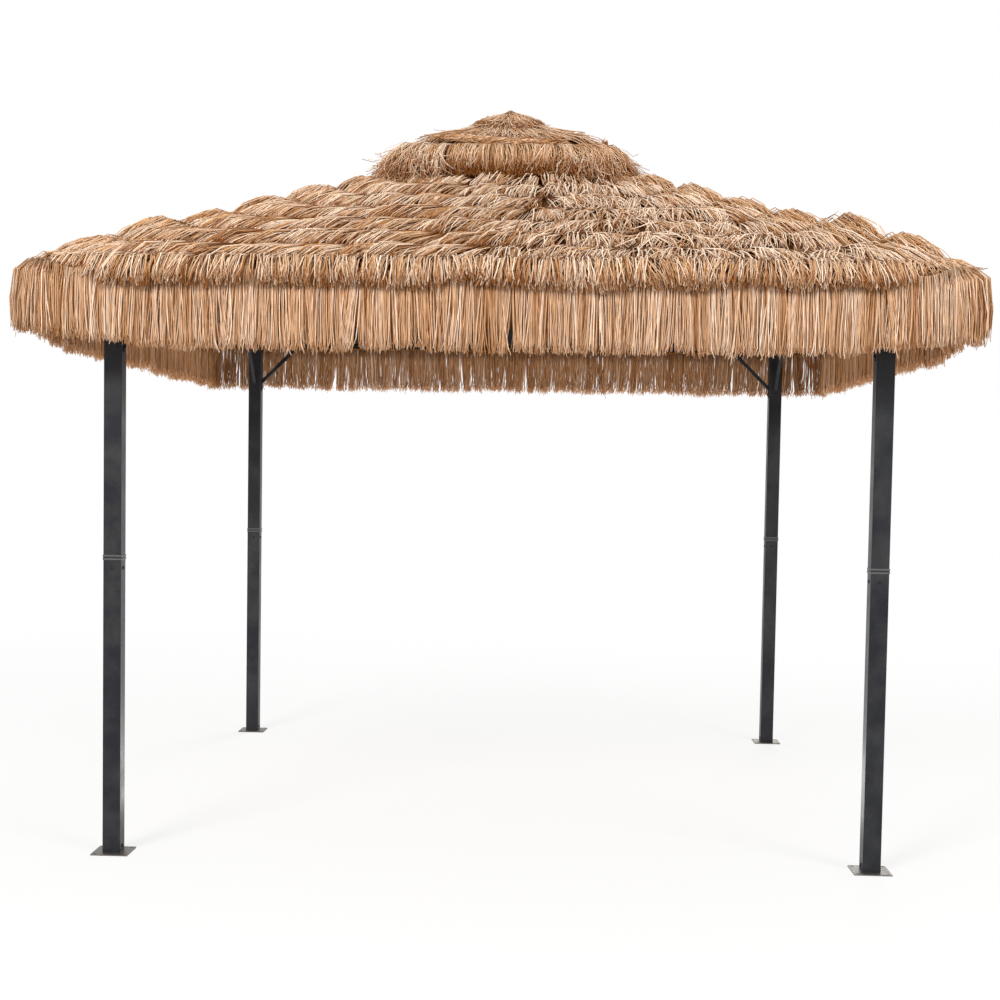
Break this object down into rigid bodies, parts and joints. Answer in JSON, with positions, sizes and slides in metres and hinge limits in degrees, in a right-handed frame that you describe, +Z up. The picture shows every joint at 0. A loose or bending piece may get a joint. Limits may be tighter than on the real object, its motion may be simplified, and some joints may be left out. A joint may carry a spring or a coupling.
{
  "type": "thatched roof gazebo",
  "caption": "Square garden gazebo with dark steel posts on base plates and a two-tier hipped roof covered in artificial thatch with a hanging fringe.",
  "frame": {"origin": "on the ground in the middle between the four posts", "axes": "+Z up, +X to the right and +Y to the back, seen from the front; all four sides are alike"},
  "size_m": [3.1204, 3.1204, 2.7596],
  "materials": {
    "charcoal_steel": "satin dark charcoal powder coat",
    "collar_grey": "satin mid grey powder coat",
    "galvanised_steel": "dull zinc plating",
    "dark_screw_steel": "blackened zinc",
    "canopy_fabric": "woven polyester",
    "roof_thatch": "loose straw-coloured strands",
    "fringe_thatch": "loose hanging pale straw-coloured strands"
  },
  "bodies": {
    "root": {"base_plate_fl": "galvanised_steel", "base_plate_fr": "galvanised_steel", "base_plate_bl": "galvanised_steel", "base_plate_br": "galvanised_steel", "lower_post_fl": "charcoal_steel", "lower_post_fr": "charcoal_steel", "lower_post_bl": "charcoal_steel", "lower_post_br": "charcoal_steel", "post_coupler_fl": "collar_grey", "post_coupler_fr": "collar_grey", "post_coupler_bl": "collar_grey", "post_coupler_br": "collar_grey", "upper_post_fl": "charcoal_steel", "upper_post_fr": "charcoal_steel", "upper_post_bl": "charcoal_steel", "upper_post_br": "charcoal_steel", "corner_bracket_fl": "charcoal_steel", "corner_bracket_fr": "charcoal_steel", "corner_bracket_bl": "charcoal_steel", "corner_bracket_br": "charcoal_steel", "braces_fl": "charcoal_steel", "braces_fr": "charcoal_steel", "braces_bl": "charcoal_steel", "braces_br": "charcoal_steel", "beam_front": "charcoal_steel", "beam_right": "charcoal_steel", "beam_back": "charcoal_steel", "beam_left": "charcoal_steel", "canopy_front": "canopy_fabric", "canopy_right": "canopy_fabric", "canopy_back": "canopy_fabric", "canopy_left": "canopy_fabric", "fringe_front": "fringe_thatch", "fringe_right": "fringe_thatch", "fringe_back": "fringe_thatch", "fringe_left": "fringe_thatch", "thatch_row_1": "roof_thatch", "thatch_row_2": "roof_thatch", "thatch_row_3": "roof_thatch", "thatch_row_4": "roof_thatch", "thatch_row_5": "roof_thatch", "thatch_row_6": "roof_thatch", "thatch_row_7": "roof_thatch", "thatch_row_8": "roof_thatch", "hip_rafters": "charcoal_steel", "mid_rafters": "charcoal_steel", "eave_rails": "charcoal_steel", "eave_corners": "collar_grey", "vent_frame": "charcoal_steel", "crown_legs": "charcoal_steel", "crown_rafters": "charcoal_steel", "crown_rim": "charcoal_steel", "crown_hub": "charcoal_steel", "crown_canopy": "canopy_fabric", "crown_fringe": "roof_thatch", "crown_cap_row": "roof_thatch", "peak_tuft": "roof_thatch", "base_screws": "dark_screw_steel", "coupler_screws": "dark_screw_steel", "frame_bolts": "dark_screw_steel"}
  },
  "joints": []
}
